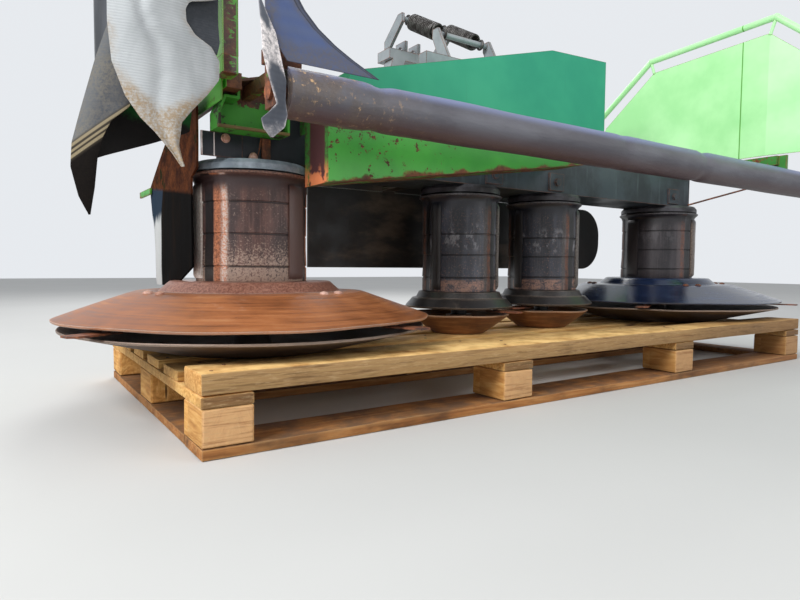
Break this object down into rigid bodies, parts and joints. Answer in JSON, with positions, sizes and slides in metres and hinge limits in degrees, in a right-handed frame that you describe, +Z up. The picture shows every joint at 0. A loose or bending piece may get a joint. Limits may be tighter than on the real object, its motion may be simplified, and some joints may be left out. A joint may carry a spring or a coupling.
{
  "type": "drum mower",
  "caption": "Front-mounted drum mower with hanging cutting drums, folded-up side covers, a rolled-up curtain and a three-point headstock, on a wooden pallet.",
  "frame": {"origin": "centre of the free end of the drive shaft", "axes": "+X along the cutting line to the machine's right seen from the front's left, +Y back towards the tractor along the drive shaft, +Z up"},
  "size_m": [2.698, 1.248, 1.3257],
  "materials": {
    "drum_paint": "worn satin paint, rusty",
    "disc_steel": "worn bright with brown rust",
    "knife_steel": "dark rusty steel",
    "saucer_steel": "dull scraped steel",
    "dark_paint": "dull dark paint with streaks",
    "ring_steel": "dull grey",
    "gearbox_paint": "satin paint, oily",
    "shaft_steel": "bright turned steel",
    "green_paint": "weathered gloss paint",
    "hood_paint": "smooth satin paint",
    "bracket_paint": "rusty paint",
    "curtain": "dull coated cloth, muddy",
    "drape_cloth": "dull coated cloth",
    "flap_cloth": "ribbed cloth, dirty edges",
    "board_rubber": "dull, dusty",
    "end_rust": "rusty with worn paint",
    "grey_paint": "weathered satin paint",
    "spring_steel": "dark steel",
    "pallet_wood": "rough sawn, dusty",
    "block_wood": "rough sawn"
  },
  "bodies": {
    "frame": {"gear_beam": "dark_paint", "bearing_rings": "ring_steel", "gearbox": "gearbox_paint", "main_tube": "green_paint", "side_frame_left": "green_paint", "side_frame_right": "green_paint", "end_bracket_left": "bracket_paint", "drive_hood": "hood_paint", "hood_brackets": "gearbox_paint", "front_apron": "green_paint", "front_rail": "ring_steel", "curtain_roll": "curtain", "curtain_drape": "drape_cloth", "crop_board": "board_rubber", "end_board_left": "end_rust", "headstock": "grey_paint", "top_hitch": "grey_paint", "carrier_arms": "grey_paint", "relief_springs": "spring_steel", "pallet_deck": "pallet_wood", "pallet_blocks": "block_wood", "pallet_feet": "pallet_wood"},
    "rotor_1": {"drum_1": "drum_paint", "disc_1": "disc_steel", "knives_1": "knife_steel"},
    "skid_1": {"saucer_1": "saucer_steel"},
    "rotor_2": {"drum_2": "drum_paint", "disc_2": "disc_steel", "knives_2": "knife_steel"},
    "skid_2": {"saucer_2": "saucer_steel"},
    "rotor_3": {"drum_3": "drum_paint", "disc_3": "disc_steel", "knives_3": "knife_steel"},
    "skid_3": {"saucer_3": "saucer_steel"},
    "rotor_4": {"drum_4": "drum_paint", "disc_4": "disc_steel", "knives_4": "knife_steel"},
    "skid_4": {"saucer_4": "saucer_steel"},
    "drive_shaft": {"drive_shaft": "shaft_steel"},
    "cover_left": {"side_cover_left": "green_paint", "corner_flap": "flap_cloth", "side_curtain": "flap_cloth"},
    "cover_right": {"side_cover_right": "green_paint"}
  },
  "joints": [
    {"name": "rotor_1_spin", "type": "hinge", "parent": "frame", "child": "rotor_1", "pos_m": [-0.89, -0.42, -0.64], "axis": [0, 0, 1], "continuous": true},
    {"name": "skid_1_spin", "type": "hinge", "parent": "rotor_1", "child": "skid_1", "pos_m": [-0.89, -0.42, -0.7], "axis": [0, 0, 1], "continuous": true},
    {"name": "rotor_2_spin", "type": "hinge", "parent": "frame", "child": "rotor_2", "pos_m": [-0.193, -0.42, -0.64], "axis": [0, 0, 1], "continuous": true},
    {"name": "skid_2_spin", "type": "hinge", "parent": "rotor_2", "child": "skid_2", "pos_m": [-0.193, -0.42, -0.7], "axis": [0, 0, 1], "continuous": true},
    {"name": "rotor_3_spin", "type": "hinge", "parent": "frame", "child": "rotor_3", "pos_m": [0.193, -0.42, -0.64], "axis": [0, 0, 1], "continuous": true},
    {"name": "skid_3_spin", "type": "hinge", "parent": "rotor_3", "child": "skid_3", "pos_m": [0.193, -0.42, -0.7], "axis": [0, 0, 1], "continuous": true},
    {"name": "rotor_4_spin", "type": "hinge", "parent": "frame", "child": "rotor_4", "pos_m": [0.89, -0.42, -0.64], "axis": [0, 0, 1], "continuous": true},
    {"name": "skid_4_spin", "type": "hinge", "parent": "rotor_4", "child": "skid_4", "pos_m": [0.89, -0.42, -0.7], "axis": [0, 0, 1], "continuous": true},
    {"name": "drive_spin", "type": "hinge", "parent": "frame", "child": "drive_shaft", "pos_m": [0, 0, 0], "axis": [0, 1, 0], "continuous": true},
    {"name": "cover_left_fold", "type": "hinge", "parent": "frame", "child": "cover_left", "pos_m": [-1.04, -0.42, -0.1], "axis": [0, -1, 0], "range_deg": [0, 90]},
    {"name": "cover_right_fold", "type": "hinge", "parent": "frame", "child": "cover_right", "pos_m": [1.04, -0.42, -0.1], "axis": [0, 1, 0], "range_deg": [0, 90]}
  ],
  "couplings": [
    {"joint": "drive_spin", "follows": "rotor_1_spin", "ratio": 0.66667},
    {"joint": "rotor_2_spin", "follows": "rotor_1_spin", "ratio": -1},
    {"joint": "rotor_3_spin", "follows": "rotor_1_spin", "ratio": 1},
    {"joint": "rotor_4_spin", "follows": "rotor_1_spin", "ratio": -1}
  ]
}
